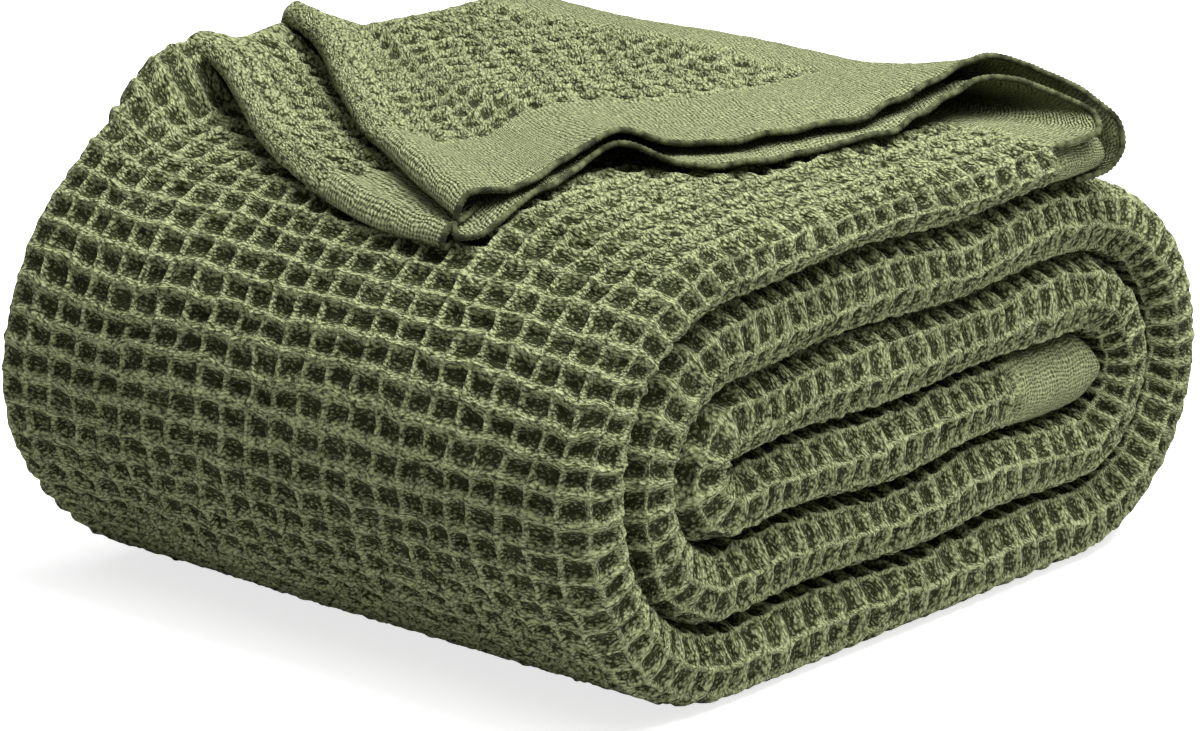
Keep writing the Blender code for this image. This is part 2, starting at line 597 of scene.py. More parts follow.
@dataclass
class RolledBand:
    """The sheets of the roll itself. Its places are in squares from the band's inner end."""

    roll: Roll
    across_drift: tuple[Ripple, ...] = (Ripple(0.12, 9.0, 1), Ripple(0.08, 2.2, 2))
    up_drift: tuple[Ripple, ...] = (Ripple(0.12, 8.0, 3), Ripple(0.08, 2.0, 4))
    lie: tuple[Ripple, ...] = (Ripple(0.0016, 0.11, 11), Ripple(0.0016, 0.11, 12), Ripple(0.0016, 0.11, 13))
    floor_fade: float = 0.03
    shoulder_inside: float = 0.004
    behind_y: float = 0.045
    plain_inner: float = 6.0
    plain_outer_y: float = 0.076
    plain_drift: float = 0.15
    tip_setback: float = 0.005
    tip_squares: tuple[float, float] = (1.0, 8.0)
    full_half: float = 0.009
    cusp_width: float = 0.004
    near_strip: tuple[float, float] = (-0.022, -0.004)
    far_strip: tuple[float, float] = (0.012, 0.018)
    pocket_y: tuple[float, ...] = (-0.155, -0.135, -0.123, -0.113, -0.097, -0.086, -0.076, -0.066, -0.050)
    pocket_rise: tuple[float, ...] = (0.0, 0.0040, 0.0080, 0.0140, 0.0210, 0.0230, 0.0220, 0.0150, 0.0)
    pocket_x: tuple[float, float] = (-0.140, -0.115)
    pocket_z: tuple[float, float] = (0.145, 0.160)
    pocket_stretch: float = 0.56
    path: Path = field(init=False)
    section: Section = field(init=False)
    plain: PlainEnds = field(init=False)
    end: float = field(init=False)
    shoulder: float = field(init=False)
    under: float = field(init=False)
    behind: float = field(init=False)

    def __post_init__(self) -> None:
        """Works out the spiral and the places where its sheets are cut."""
        self.path = self.roll.path()
        self.section = Section(self.roll)
        self.end = float(self.path.squares[-1])
        # Each search starts as many squares before the band's end, or before a cut, as its pass needs
        top = self.path.place(0.0, self.end - 12)
        self.shoulder = self.path.place(self.roll.left[0] + self.shoulder_inside, self.end - 26)
        self.under = self.path.place(0.0, self.end - 52)
        self.behind = self.path.place(self.behind_y, self.under - 40)
        self.plain = PlainEnds(inner=self.plain_inner, outer=self.path.place(self.plain_outer_y, top))

    def pocket(self, x: np.ndarray, y: np.ndarray) -> np.ndarray:
        """Rise of the top towards the far end, which closes the hollow under the first fold."""
        return np.interp(y, self.pocket_y, self.pocket_rise) * (1.0 - smooth_step(*self.pocket_x, x))

    def cloth(self, up: np.ndarray, across: np.ndarray, flat: tuple[float, float]) -> Cloth:
        """A grid of the band's cloth.

        A place is read from the spiral (up) and from the section (across). Both drift a little, so the rows
        aren't straight. The relief stands along the section's normal, turned by the spiral's.

        Args:
            up: places along the band, in squares.
            across: places across the band, in squares from the near fold.
            flat: the flat size.

        Returns:
            The grid.
        """
        across_grid, up_grid = np.meshgrid(across, up)
        both = np.stack([across_grid, up_grid], axis=-1)
        drift_up = all_ripples(self.up_drift, both)
        distance = (across_grid + all_ripples(self.across_drift, both)) * WEAVE.along
        x, x_curve, offset, x_normal, normal = self.section.at(distance)
        y, z, out_y, out_z, half = self.path.at(np.clip(up_grid + drift_up, 0, self.end))
        setback = np.where(x > 0.0, self.tip_setback, 0.0) * (1.0 - smooth_step(*self.tip_squares, up_grid))
        x = x - setback + x_curve * np.clip(half / self.full_half, 0, 1)
        upper = smooth_step(*self.pocket_z, z + out_z * half) * (offset > 0)
        rise = self.pocket(x, y + out_y * offset * half) * upper
        across_grid = across_grid - self.pocket_stretch * rise / WEAVE.along
        plain = self.plain.share(up_grid + self.plain_drift * drift_up)
        relief, hollow = WEAVE.relief(across_grid, up_grid)
        cusp = smooth_step(0.0, self.cusp_width, np.abs(distance - self.section.cusp))
        relief = WEAVE.levelled(relief, plain) * cusp
        reach = offset * half + relief * normal
        y, z = y + out_y * reach, z + out_z * reach
        points = np.stack([x + relief * x_normal, y, self.roll.crowned(y, z) + rise], axis=-1)
        return Cloth(self.relaxed(points), across_grid, up_grid, hollow * (1 - plain), plain, flat)

    def relaxed(self, points: np.ndarray) -> np.ndarray:
        """Gives the whole roll a slightly uneven lie, none at the floor."""
        moves = np.stack([ripple.at(points) for ripple in self.lie], axis=-1)
        return points + smooth_step(0.0, self.floor_fade, points[..., 2])[..., None] * moves

    def build(self, maker: Maker) -> list[Piece]:
        """Makes the outer sheets, cut from one grid, and the strips of folds inside the spiral.

        Args:
            maker: what puts them into the scene.

        Returns:
            The pieces.
        """
        far, near = self.section.far_end, self.section.near_end
        up = WEAVE.stations(self.behind, self.end)
        whole = self.cloth(up, WEAVE.stations(far / WEAVE.along, near / WEAVE.along), (near - far, 1.0))
        cuts = (
            ("back_wrap", self.behind, self.under),
            ("front_wrap", self.under, self.shoulder),
            ("top_wrap", self.shoulder, self.end),
        )
        pieces = []
        for name, start, end in cuts:
            first, last = np.searchsorted(up, (start, end))
            part = whole.cut(slice(first, last + 1), (near - far, (end - start) * WEAVE.around))
            pieces.append(self.declared(maker.sheet(name, part), part.flat))
        folds = WEAVE.stations(0.0, self.behind)
        far_start = 0.75 * self.roll.band - self.roll.length
        strips = (
            ("near_folds", self.near_strip[0], near + self.near_strip[1]),
            ("far_folds", far + self.far_strip[0], far_start + self.far_strip[1]),
        )
        for name, start, end in strips:
            flat = (end - start, self.behind * WEAVE.on_folds)
            strip = self.cloth(folds, WEAVE.stations(start / WEAVE.along, end / WEAVE.along), flat)
            pieces.append(self.declared(maker.sheet(name, strip), flat))
        return pieces

    @staticmethod
    def declared(piece: Piece, flat: tuple[float, float]) -> Piece:
        """Hands back the piece as it is."""
        return piece


@dataclass(frozen=True)
class FoldLine:
    """Front edge of a fold in the turned-back end: (x, y, lift) in millimetres, from far end to tip."""

    points: tuple[Point, ...]
    far_radius: float = 5.8
    near_radius: float = 4.2

    def moved(self, back: float, lift: float, low: float = -math.inf) -> list[Point]:
        """The line moved back and up by so many times the rim's radius, which shrinks towards the tip.

        Args:
            back: how far back, in radii.
            lift: how far up, in radii.
            low: the least lift, in millimetres.

        Returns:
            The moved line, in millimetres.
        """
        x, y, height = np.array(self.points, dtype=float).T
        radius = self.far_radius + (self.near_radius - self.far_radius) * (x - x[0]) / (x[-1] - x[0])
        return list(zip(x, y + back * radius, np.maximum(height + lift * radius, low)))

    def rim(self, low: float, under: float) -> list[list[Point]]:
        """The guide lines round the folded edge, from under it, round its front, to its top.

        Args:
            low: the least lift of the part underneath, in millimetres.
            under: how far the first line drops, in radii.

        Returns:
            Six guide lines.
        """
        return [
            self.moved(3.0, -under, low),
            self.moved(1.3, -1.0, low),
            self.moved(0.3, -0.75, low + 0.4),
            self.moved(-0.1, 0.0),
            self.moved(0.35, 0.75),
            self.moved(1.4, 1.0),
        ]


@dataclass(frozen=True)
class TurnedPly:
    """One ply of the turned-back end, from its folded front edge to the loop at the back.

    It is lofted: guide lines run from the far end to the hem, and the sheet passes over them, front to back.
    The rim and the curl are the numbers of the guides where the folded edge ends and the back loop starts.
    """

    name: str
    roll: Roll
    guides: list[list[Point]]
    step: float
    curl: int
    rim: int = 5
    reach: float = 0.19
    length_rounding: float = 0.006
    rounding: float = 0.0019
    broad_rounding: float = 0.0042
    far_turn: float = -0.1385
    edge_radius: float = 0.0045
    rim_fade: tuple[float, float] = (0.6, 2.2)
    curl_fade: float = 3.0
    hem_flutter: Ripple = Ripple(0.0011, 0.022, 31)
    hem_width: float = 0.012
    flutter_y: tuple[float, float] = (0.085, 0.1)
    plain_width: float = 0.064
    plain_fade: float = 0.006
    plain_y: tuple[float, float] = (0.082, 0.094)
    rim_loss: float = 0.8
    rim_reach: tuple[float, float] = (-0.006, 0.002)
    far_x: tuple[float, float] = (-0.1425, -0.131)
    across_drift: tuple[Ripple, ...] = (Ripple(0.16, 9.0, 21), Ripple(0.05, 2.6, 22))
    up_drift: tuple[Ripple, ...] = (Ripple(0.16, 8.0, 23), Ripple(0.05, 2.4, 24))
    hem_band: Ripple = Ripple(0.004, 0.07, 25)
    back_band: Ripple = Ripple(0.004, 0.09, 26)

    def loft(self) -> tuple[np.ndarray, int]:
        """The base sheet, before its weave.

        Each guide line is resampled at equal steps of its length, then each section across the guides too.
        A bell-shaped mean rounds both, broader on the level part. Heights are lifts above the rolled band,
        less a quarter circle at the far edge, with a flutter that fades inwards from the hem as a bell.

        Returns:
            The grid (front to back, far end to hem), and the row where the folded edge ends.
        """
        columns = int(self.reach / self.step)
        net = np.stack([resample(np.array(guide) / MILLIMETRES, columns) for guide in self.guides])
        net = soften(net, self.length_rounding / self.step, axis=1)
        lengths = np.linalg.norm(np.diff(net, axis=0), axis=-1).mean(axis=1)
        counts = np.maximum(np.round(lengths / self.step), 1).astype(int)
        places = [np.linspace(i, i + 1, count + 1)[:-1] for i, count in enumerate(counts)]
        places = np.concatenate(places + [[len(counts)]])
        low = np.minimum(places.astype(int), len(counts) - 1)
        share = (places - low)[:, None, None]
        rows = net[low] * (1 - share) + net[low + 1] * share
        level = smooth_step(*self.rim_fade, places - self.rim)[:, None, None]
        level = level * (1 - smooth_step(self.curl - self.curl_fade, self.curl, places)[:, None, None])
        fine = soften(rows, self.rounding / self.step, axis=0)
        broad = soften(rows, self.broad_rounding / self.step, axis=0)
        rows = fine * (1 - level) + broad * level
        x, y, lift = np.moveaxis(rows, -1, 0)
        edge = np.clip((self.far_turn - x) / self.edge_radius, 0, 1)
        inwards = np.arange(columns)[::-1] * self.step
        flutter = self.hem_flutter.at(rows) * np.exp(-((inwards / self.hem_width) ** 2))
        height = self.roll.surface(y) + lift - self.edge_radius * (1 - np.sqrt(1 - edge**2))
        height = height + flutter * (1.0 - smooth_step(*self.flutter_y, y))
        return np.stack([x, y, height], axis=-1), int(np.searchsorted(places, self.rim))

    def cloth(self, relaxed: Callable[[np.ndarray], np.ndarray]) -> Cloth:
        """The ply with its weave: squares counted inwards from the hem, and backwards from the fold.

        The relief stands along the base sheet's normals, and is low on the folded edge and at the far edge.

        Args:
            relaxed: the uneven lie of the roll, as a function of points.

        Returns:
            The grid.
        """
        base, rim_row = self.loft()
        inwards, back = (np.linalg.norm(np.diff(base, axis=axis), axis=-1) for axis in (1, 0))
        from_hem = np.pad(np.cumsum(inwards[:, ::-1], axis=1)[:, ::-1], ((0, 0), (0, 1)))
        backwards = np.pad(np.cumsum(back, axis=0), ((1, 0), (0, 0)))
        backwards = backwards - backwards[rim_row]
        across, up = from_hem / WEAVE.along, backwards / WEAVE.around
        both = np.stack([across, up], axis=-1)
        across = across + all_ripples(self.across_drift, both)
        up = up + all_ripples(self.up_drift, both)
        past_hem = from_hem - self.plain_width - self.hem_band.at(base)
        plain = 1.0 - smooth_step(-self.plain_fade, self.plain_fade, past_hem)
        plain = np.maximum(plain, smooth_step(*self.plain_y, base[..., 1] + self.back_band.at(base)))
        relief, hollow = WEAVE.relief(across, up)
        share = 1.0 - self.rim_loss * (1.0 - smooth_step(*self.rim_reach, backwards))
        share = share * smooth_step(*self.far_x, base[..., 0])
        normals = grid_normals(base)
        upwards = np.sign(normals[len(normals) // 2, normals.shape[1] // 2, 2])
        points = base + normals * (WEAVE.levelled(relief, plain) * share * upwards)[..., None]
        flat = (float(from_hem[:, 0].mean()), float((backwards[-1] - backwards[0]).mean()))
        return Cloth(relaxed(points), across, up, hollow * (1 - plain) * np.sqrt(share), plain, flat)


@dataclass(frozen=True)
class Overlock:
    """The stitched binding along a cut edge: a thin cord with a slanting thread pattern."""

    radius: float = 0.0012
    stitch: float = 0.0019
    swell: float = 0.17
    end_share: float = 0.1
    sides: int = 8
    step: float = 0.0005

    def build(self, maker: Maker, name: str, line: np.ndarray) -> Piece:
        """Sweeps a circle along a line. Its radius swells with a cosine wave that turns as it goes along.

        Args:
            maker: what puts it into the scene.
            name: the piece's name.
            line: the edge it follows, one point in each row.

        Returns:
            The binding.
        """
        length = float(np.linalg.norm(np.diff(line, axis=0), axis=1).sum())
        count = int(length / self.step)
        path = resample(line, count)
        ahead = np.gradient(path, axis=0)
        ahead /= np.linalg.norm(ahead, axis=1, keepdims=True)
        side = np.cross(ahead, np.array([0.3, 0.0, 1.0]))
        side /= np.linalg.norm(side, axis=1, keepdims=True)
        up = np.cross(side, ahead)
        angle = np.linspace(0, 2 * math.pi, self.sides, endpoint=False)
        stitches = np.linspace(0, length, count)[:, None] / self.stitch
        radius = self.radius * (1.0 + self.swell * np.cos(2 * math.pi * stitches + angle))
        radius[[0, -1]] *= self.end_share
        circle = np.cos(angle)[None, :, None] * side[:, None] + np.sin(angle)[None, :, None] * up[:, None]
        ring = radius[..., None] * circle
        number = np.arange(count * self.sides).reshape(count, self.sides)
        turned = np.roll(number, -1, axis=1)
        faces = np.stack([number[:-1], number[1:], turned[1:], turned[:-1]], axis=-1)
        points, outward = (path[:, None] + ring).reshape(-1, 3), circle.reshape(-1, 3)
        piece = maker.mesh(name, points, faces.reshape(-1, 4), outward, Kind.BINDING)
        maker.dress(piece, *np.broadcast_arrays(stitches, angle / (2 * math.pi)))
        return piece


@dataclass(frozen=True)
class TurnedEnd:
    """The outer end of the blanket, turned back over the top: a lower ply, an upper ply and their bindings.

    The fold lines and hems are in millimetres: x, y and lift above the rolled band.
    """

    band: RolledBand
    far_x: float = -143
    first_fold: FoldLine = FoldLine(
        (
            (-143, -80, 18.6), (-131, -79, 18), (-119, -83, 15), (-100, -93, 10.5), (-79, -107, 7.5),
            (-57, -118, 6), (-38, -125, 5), (-19, -131, 4.5), (0, -135, 4), (15, -136, 4), (31, -137, 4),
            (41, -137, 4),
        )
    )
    second_fold: FoldLine = FoldLine(
        (
            (-143, -25, 19.6), (-123, -33, 18.8), (-99, -48, 16.5), (-77, -64, 14.2), (-55, -80, 12.4),
            (-31, -99, 11.2), (-9, -111, 10.5), (9, -120, 10), (27, -126, 9.5), (41, -130, 9),
        )
    )
    upper_hem: tuple[Point, ...] = (
        (50, -112, 7.5), (51, -98, 7.5), (45, -80, 8), (42.5, -67, 9), (44.4, -59.5, 13), (47.5, -54, 16.5),
        (49.5, -47, 14.5), (53, -39, 8.2), (58, -31.5, 7.8), (64, -25, 8), (71, -20, 7.6), (73.5, -7, 8),
        (80.5, 5, 7.5), (83.5, 20, 7.9), (90, 34, 7.6), (89, 50, 9), (88, 63, 12), (90, 73, 16), (91, 82, 19),
        (91, 93, 21.5), (92, 103, 22),
    )
    lower_hem: tuple[Point, ...] = (
        (52, -128, 3.2), (54, -119, 3.2), (54, -108, 3.4), (53, -96, 3.5), (48, -78, 3.7), (44, -65, 4.6),
        (44, -57, 9.5), (49, -52, 12), (55, -47, 6.5), (66, -44, 3.2), (74, -36, 3.5), (81, -27, 3.5),
        (87, -16, 3.2), (88.5, -4, 3), (90, 16, 3.2), (95, 32, 3), (98, 45, 3.4), (97, 57, 5), (95.5, 69, 9),
        (95, 82, 13), (97, 89, 15.5), (101, 98, 16.5),
    )
    upper_loop: tuple[Line, ...] = (
        ((-143, 112, 4.6), (60, 112, 5.6), (95, 110.5, 20)),
        ((-143, 117, 1.5), (60, 117.5, 2.4), (106, 113, 18)),
        ((-143, 120, -3), (60, 121, -2), (128, 115, 13)),
        ((-143, 121, -10), (60, 122, -10), (146, 117, 3)),
        ((-143, 119.5, -16), (60, 120, -16), (148, 118, -8)),
        ((-143, 115, -19.6), (60, 115, -19.6), (143, 114, -17)),
        ((-143, 100, -20), (60, 100, -20), (138, 100, -19.6)),
    )
    lower_loop: tuple[Line, ...] = (
        ((-143, 103, 1.8), (60, 104, 2.2), (109, 104, 15)),
        ((-143, 107, 1.4), (60, 108, 1.6), (124, 108.5, 10.5)),
        ((-143, 107, 0.8), (60, 108, 0.8), (140, 110, 6)),
        ((-143, 100, 0.4), (60, 100, 0.4), (147, 104, 0.4)),
        ((-143, 84, -3.4), (60, 84, -3.4), (141, 83, -3.4)),
    )

    def level_guides(
        self, hem: Line, starts: tuple[float, float], lifts: tuple[float, float]
    ) -> list[list[Point]]:
        """Guide lines from the far end to a hem's points: level, then rising or falling to the hem's lift.

        The rise starts at 0.62 of the way and grows as a power of what is left.

        Args:
            hem: the hem's points.
            starts: y of the first line and of the last at the far end.
            lifts: lift of the first line and of the last where they are level.

        Returns:
            A line for each point.
        """
        places = np.linspace(0.0, 1.0, 12)
        gain = np.clip((places - 0.62) / 0.38, 0, 1) ** 1.6
        far = np.stack([np.linspace(*ends, len(hem)) for ends in ((self.far_x,) * 2, starts, lifts)], axis=1)
        shares = np.stack([places, places, gain], axis=1)
        return [(start + (end - start) * shares).tolist() for start, end in zip(far, np.array(hem))]

    def upper(self) -> TurnedPly:
        """The upper ply: its folded edge, slope, level part with the curl, and the loop round the band's end.

        Returns:
            The ply.
        """
        fold = self.second_fold
        slope = [(x, y + 24, max(8.2, lift * 0.84)) for x, y, lift in fold.points]
        slope[-1] = self.upper_hem[0]
        guides = [*fold.rim(low=5.0, under=1.6), slope]
        guides += self.level_guides(self.upper_hem[1:], starts=(18, 104), lifts=(8.3, 6.0))
        guides += [list(line) for line in self.upper_loop]
        return TurnedPly("upper_ply", self.band.roll, guides, step=0.00115, curl=len(guides) - 8)

    def lower(self) -> TurnedPly:
        """The lower ply: its folded edge, the strip between the folds, and the part under the upper ply.

        Returns:
            The ply.
        """
        x = np.linspace(self.far_x, 41, 12)
        first, second = (np.array(fold.points, dtype=float).T for fold in (self.first_fold, self.second_fold))
        first_y, first_lift = (np.interp(x, first[0], row) for row in first[1:])
        second_y = np.interp(x, second[0], second[1])
        valley = np.interp(x, (-143, -112, -60, 0, 41), (14, 9, 5.5, 4.2, 3.8))
        wall = np.interp(x, (-143, -132, -116), (6, 3, 0))
        middle = list(zip(x, first_y * 0.45 + second_y * 0.55, (first_lift + 3) * 0.35 + valley * 0.65))
        under = list(zip(x, second_y + 3, np.maximum(valley, 3.6) + wall))
        middle[-1] = (45, -134, 4.5)
        under[-1] = (50, -131, 3.6)
        guides = [*self.first_fold.rim(low=0.9, under=2.4), middle, under]
        guides += self.level_guides(self.lower_hem, starts=(6, 98), lifts=(4.0, 1.8))
        guides += [list(line) for line in self.lower_loop]
        return TurnedPly("lower_ply", self.band.roll, guides, step=0.00135, curl=len(guides) - 6)

    def build(self, maker: Maker) -> list[Piece]:
        """Makes both plies and the binding along each hem.

        Args:
            maker: what puts them into the scene.

        Returns:
            The pieces.
        """
        pieces = []
        for ply in (self.lower(), self.upper()):
            cloth = ply.cloth(self.band.relaxed)
            piece = maker.sheet(ply.name, cloth)
            hem = Overlock().build(maker, ply.name.replace("_ply", "_hem_binding"), cloth.points[:, -1])
            pieces += [piece, hem]
        return pieces


@dataclass(frozen=True)
class NodeTree:
    """A short way to add and join shader nodes."""

    tree: bpy.types.NodeTree

    def add(self, kind: str, **settings: object) -> bpy.types.Node:
        """A new node.

        Args:
            kind: the node's type.
            settings: its properties and their values.

        Returns:
            The node.
        """
        node = self.tree.nodes.new(kind)
        for name, value in settings.items():
            setattr(node, name, value)
        return node

    def join(self, source: Socket, target: Socket) -> None:
        """A link from one socket to another."""
        self.tree.links.new(source, target)

    def feed(self, targets: Iterable[Socket], values: Iterable[object]) -> None:
        """Gives each input a link or a constant.

        Args:
            targets: the inputs, in order.
            values: a socket or a constant for each.
        """
        for target, value in zip(targets, values):
            if isinstance(value, Socket):
                self.join(value, target)
            else:
                target.default_value = value

    def math(self, operation: str, *values: object) -> Socket:
        """The output of a Math node on sockets or numbers.

        Args:
            operation: what it does.
            values: its inputs, in order.

        Returns:
            Its output.
        """
        node = self.add("ShaderNodeMath", operation=operation)
        self.feed(node.inputs, values)
        return node.outputs[0]

    def vector(self, operation: str, *values: object, scale: object = 1.0) -> Socket:
        """The output of a Vector Math node on sockets or constant vectors.

        Args:
            operation: what it does.
            values: its vectors, in order.
            scale: its scale, which only SCALE uses.

        Returns:
            Its vector.
        """
        node = self.add("ShaderNodeVectorMath", operation=operation)
        self.feed(node.inputs, values)
        self.feed(node.inputs[3:], [scale])
        return node.outputs[0]

    def parts(self, vector: Socket) -> list[Socket]:
        """The X, Y and Z of a vector.

        Args:
            vector: the vector.

        Returns:
            Three sockets.
        """
        node = self.add("ShaderNodeSeparateXYZ")
        self.join(vector, node.inputs[0])
        return list(node.outputs)

    def noise(self, vector: Socket, scale: float, detail: float, roughness: float) -> bpy.types.Node:
        """A noise at a vector.

        Args:
            vector: where it is read.
            scale: how many lumps in a unit.
            detail: how many finer layers.
            roughness: how strong they are.

        Returns:
            The node.
        """
        node = self.add("ShaderNodeTexNoise")
        names = ("Vector", "Scale", "Detail", "Roughness")
        self.feed([node.inputs[name] for name in names], (vector, scale, detail, roughness))
        return node

    def attribute(self, name: str) -> Socket:
        """A value that the mesh has at each point."""
        return self.add("ShaderNodeAttribute", attribute_name=name).outputs["Fac"]

    def fade(self, value: Socket, start: float, end: float) -> Socket:
        """A smooth rise from 0 to 1.

        Args:
            value: what it follows.
            start: the value at which it is 0.
            end: the value at which it is 1.

        Returns:
            The result.
        """
        node = self.add("ShaderNodeMapRange", interpolation_type="SMOOTHSTEP")
        self.feed([node.inputs[name] for name in ("Value", "From Min", "From Max")], (value, start, end))
        return node.outputs["Result"]

    def mix(self, factor: Socket, first: Point, second: Point) -> Socket:
        """A colour between two colours.

        Args:
            factor: 0 for the first, 1 for the second.
            first: a colour.
            second: another colour.

        Returns:
            The colour.
        """
        node = self.add("ShaderNodeMix", data_type="RGBA")
        self.join(factor, node.inputs["Factor"])
        node.inputs["A"].default_value = (*first, 1.0)
        node.inputs["B"].default_value = (*second, 1.0)
        return node.outputs["Result"]


@dataclass(frozen=True)
class YarnShares:
    """How much each part of the yarn pattern adds to a height or a shade."""

    floats: float
    fibre: float
    fuzz: float
    ribbed: float
    rib: float = 0.0
    plain: float = 0.0
    base: float = 0.0

    def total(self, nodes: NodeTree, **parts: Socket) -> Socket:
        """The base plus each part times its share.

        Args:
            nodes: where the sum is made.
            parts: the parts, by name.

        Returns:
            The sum.
        """
        total = self.base
        for name, part in parts.items():
            if getattr(self, name):
                total = nodes.math("MULTIPLY_ADD", part, getattr(self, name), total)
        return total


@dataclass(frozen=True)
class YarnPattern:
    """The yarns: short bent floats over ribs and pits, fine lines in plain cloth, and loose fibre.

    Scales are counts in a square, and the bend is in squares.
    """

    bend_scale: float = 2.4
    bend: Point = (0.26, 0.26, 0.10)
    float_shape: Point = (0.55, 1.05, 1.05)
    float_size: float = 0.50
    cell_random: float = 0.85
    plain_floats: float = 0.25
    rows: float = 8.0
    lines: float = 6.6
    line_share: float = 0.8
    rib_highlight_fade: tuple[float, float] = (0.12, 0.03)
    fibre_scale: float = 7.5
    fuzz_scale: float = 15.0
    height: YarnShares = YarnShares(floats=1.0, fibre=0.9, fuzz=0.6, ribbed=0.34)
    # In the shade, the floats and the plain lines are lighter in their middles and darker in the gaps between
    # them: painted shade between the yarns. The rib share is a painted highlight; fibre and fuzz are the
    # cotton's random tone.
    shade: YarnShares = YarnShares(
        floats=1.6, fibre=1.3, fuzz=1.1, ribbed=0.26, rib=0.05, plain=0.12, base=-0.67
    )

    def bent(self, nodes: NodeTree, weave: Socket) -> Socket:
        """Weave coordinates moved to and fro by a noise.

        Args:
            nodes: where it is made.
            weave: the coordinates.

        Returns:
            The moved coordinates.
        """
        noise = nodes.noise(weave, self.bend_scale, 2.0, 0.5).outputs["Color"]
        centred = nodes.vector("SUBTRACT", noise, (0.5, 0.5, 0.5))
        return nodes.vector("MULTIPLY_ADD", centred, self.bend, weave)

    def floats(self, nodes: NodeTree, place: Socket, threads: Socket, waffle: Socket) -> Socket:
        """Rounded cells, drawn out along the rows, and lower in plain cloth.

        Args:
            nodes: where they are made.
            place: the bent coordinates.
            threads: how many cells in a square.
            waffle: 1 in waffle cloth, 0 in plain.

        Returns:
            A value, highest in the middle of each cell.
        """
        place = nodes.vector("MULTIPLY", nodes.vector("SCALE", place, scale=threads), self.float_shape)
        cells = nodes.add("ShaderNodeTexVoronoi", voronoi_dimensions="3D", feature="F1")
        names = ("Vector", "Scale", "Randomness")
        nodes.feed([cells.inputs[name] for name in names], (place, 1.0, self.cell_random))
        rounded = nodes.math("SUBTRACT", self.float_size, cells.outputs["Distance"])
        share = nodes.math("MULTIPLY_ADD", waffle, 1.0 - self.plain_floats, self.plain_floats)
        return nodes.math("MULTIPLY", rounded, share)

    def ribbed(self, nodes: NodeTree, place: Socket, plain: Socket) -> Socket:
        """Sine waves across and along plain cloth.

        Args:
            nodes: where they are made.
            place: the bent coordinates.
            plain: 1 in plain cloth, 0 in waffle.

        Returns:
            Their sum.
        """
        x, y, _ = nodes.parts(place)
        lines = nodes.math("SINE", nodes.math("MULTIPLY", y, 2 * math.pi * self.lines))
        rows = nodes.math("SINE", nodes.math("MULTIPLY", x, 2 * math.pi * self.rows))
        return nodes.math("MULTIPLY", nodes.math("MULTIPLY_ADD", lines, self.line_share, rows), plain)

    def group(self) -> bpy.types.NodeTree:
        """Makes the node group, which every finish of the blanket uses.

        Returns:
            The group. It takes weave coordinates, threads in a square and how plain the cloth is, and puts
            out a height and a shade.
        """
        group = bpy.data.node_groups.new("cotton yarn", "ShaderNodeTree")
        sockets = (
            ("Weave", "INPUT", "NodeSocketVector"),
            ("Threads", "INPUT", "NodeSocketFloat"),
            ("Plain", "INPUT", "NodeSocketFloat"),
            ("Height", "OUTPUT", "NodeSocketFloat"),
            ("Shade", "OUTPUT", "NodeSocketFloat"),
        )
        for name, way, kind in sockets:
            group.interface.new_socket(name, in_out=way, socket_type=kind)
        nodes = NodeTree(group)
        weave, threads, plain = list(nodes.add("NodeGroupInput").outputs)[:3]
        waffle = nodes.math("SUBTRACT", 1.0, plain)
        bent = self.bent(nodes, weave)
        side = nodes.math("PINGPONG", nodes.parts(weave)[0], 0.5)
        parts = {
            "fibre": nodes.noise(bent, self.fibre_scale, 4.0, 0.6).outputs["Fac"],
            "fuzz": nodes.noise(weave, self.fuzz_scale, 3.0, 0.6).outputs["Fac"],
            "floats": self.floats(nodes, bent, threads, waffle),
            "plain": plain,
            # A painted highlight: a light line along each thin rib.
            "rib": nodes.math("MULTIPLY", nodes.fade(side, *self.rib_highlight_fade), waffle),
            "ribbed": self.ribbed(nodes, bent, plain),
        }
        result = nodes.add("NodeGroupOutput")
        nodes.join(self.height.total(nodes, **parts), result.inputs["Height"])
        nodes.join(self.shade.total(nodes, **parts), result.inputs["Shade"])
        return group


